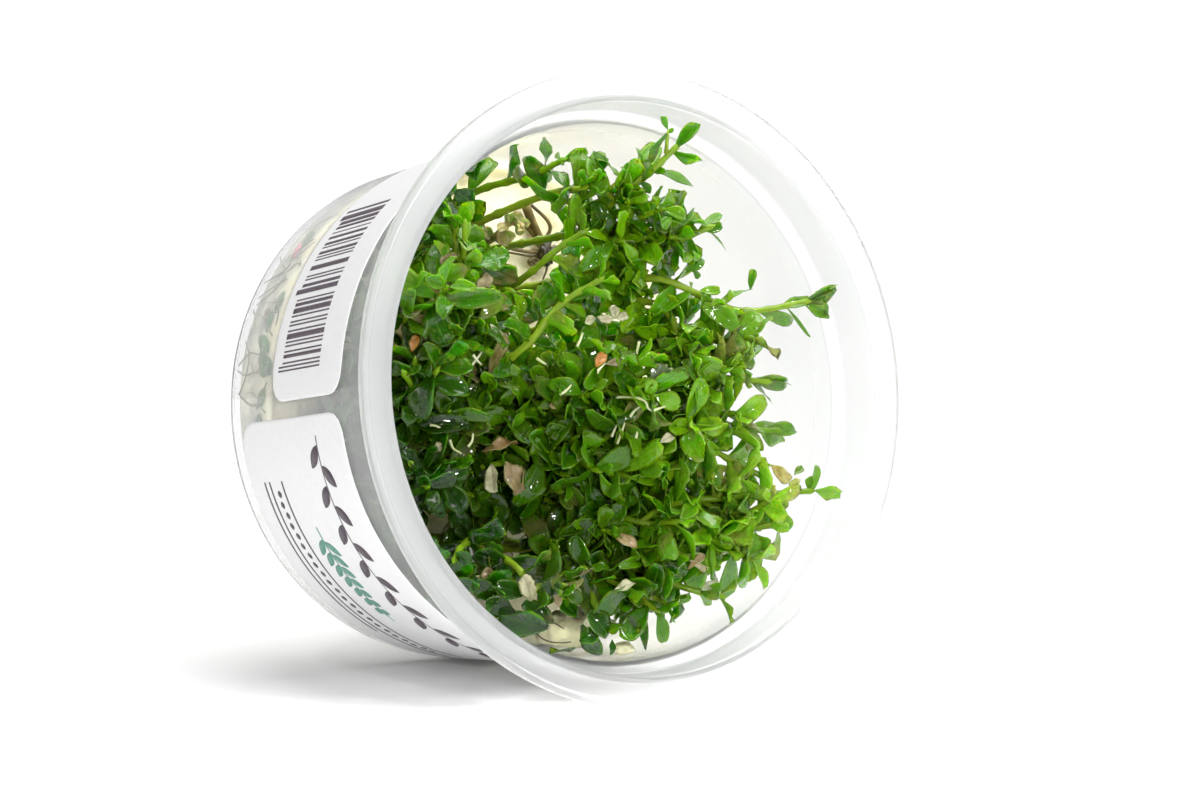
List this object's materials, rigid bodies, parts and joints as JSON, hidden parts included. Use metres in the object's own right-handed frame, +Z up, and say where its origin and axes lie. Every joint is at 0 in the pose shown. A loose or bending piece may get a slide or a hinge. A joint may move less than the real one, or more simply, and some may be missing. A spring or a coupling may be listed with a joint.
{
  "type": "rotala plant in tissue culture cup",
  "caption": "Young bushy rotala growing from a pad of nutrient gel in a clear round culture cup that lies open on its side.",
  "frame": {"origin": "bottom centre of the whole object's box, on the surface that the cup lies on", "axes": "+Z up, the mouth of the cup looks towards -Y and a little upwards, +X is to the right of someone who looks into the mouth"},
  "size_m": [0.0998, 0.0738, 0.0991],
  "materials": {
    "cup_plastic": "clear, slightly milky moulded polypropylene",
    "label_paper": "smooth white sticker stock",
    "nutrient_gel": "wet, pale cream, translucent jelly",
    "foliage": "glossy fresh green leaf on paler green stem"
  },
  "bodies": {
    "root": {"cup": "cup_plastic", "label_large": "label_paper", "label_bars": "label_paper", "gel_pad": "nutrient_gel", "gel_lump_lower": "nutrient_gel", "gel_lump_front": "nutrient_gel", "shoot_top_right": "foliage", "shoot_top_left": "foliage", "shoot_top_centre": "foliage", "shoot_upper_right": "foliage", "shoot_long_right": "foliage", "shoot_bright": "foliage", "shoot_right_short": "foliage", "shoot_right_bowed": "foliage", "shoot_middle_right": "foliage", "shoot_dark_stem": "foliage", "shoot_low_right": "foliage", "shoot_lower_drop": "foliage", "shoot_lower_short": "foliage", "shoot_bottom_right": "foliage", "shoot_bottom_inner": "foliage", "shoot_bottom": "foliage", "shoot_bottom_left": "foliage", "shoot_left_low": "foliage", "shoot_left_side": "foliage", "shoot_left_edge": "foliage", "shoot_left_upper": "foliage", "shoot_upper_left": "foliage", "shoot_heart": "foliage", "shoot_heart_low": "foliage", "shoot_heart_high": "foliage", "shoot_front_low": "foliage", "shoot_inner_01": "foliage", "shoot_inner_02": "foliage", "shoot_inner_03": "foliage", "shoot_inner_04": "foliage", "shoot_inner_05": "foliage", "shoot_inner_06": "foliage", "shoot_inner_07": "foliage", "shoot_inner_08": "foliage", "shoot_inner_09": "foliage", "shoot_inner_10": "foliage", "shoot_inner_11": "foliage", "shoot_inner_12": "foliage", "shoot_inner_13": "foliage", "shoot_inner_14": "foliage", "shoot_inner_15": "foliage", "shoot_inner_16": "foliage", "shoot_inner_17": "foliage"}
  },
  "joints": []
}
